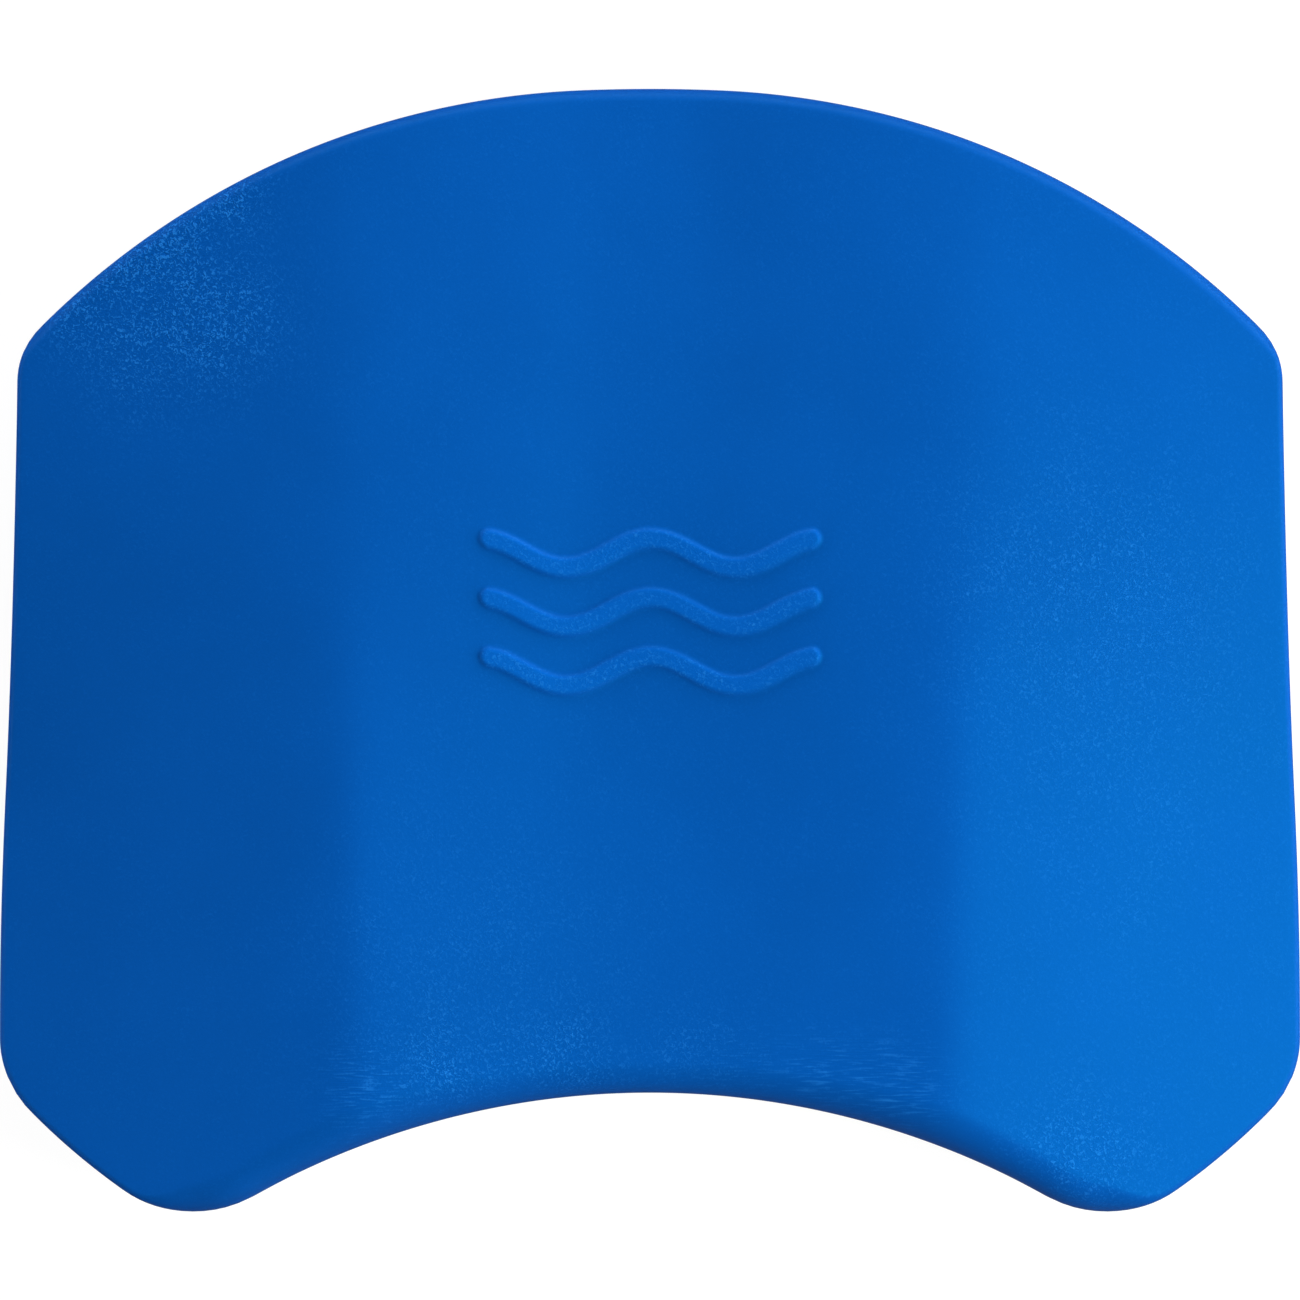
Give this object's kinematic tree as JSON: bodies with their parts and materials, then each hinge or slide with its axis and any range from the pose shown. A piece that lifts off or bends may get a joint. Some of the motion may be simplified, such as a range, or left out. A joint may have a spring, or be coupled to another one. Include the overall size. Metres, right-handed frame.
{
  "type": "kickboard float",
  "caption": "Moulded foam swim float with an arched nose, cut corners, a scooped leg end and a shallow thigh channel on each face.",
  "frame": {"origin": "under the middle of the float, on the plane of the back crests that it lies on", "axes": "+Z out of the front face, +Y towards the arched nose, X across the float's width"},
  "size_m": [0.2898, 0.2501, 0.06],
  "materials": {
    "eva_foam": "closed-cell EVA foam with a moulded satin skin",
    "contact_adhesive": "cured contact adhesive film"
  },
  "bodies": {
    "root": {"front_foam_half": "eva_foam", "back_foam_half": "eva_foam", "bond_film": "contact_adhesive"}
  },
  "joints": []
}
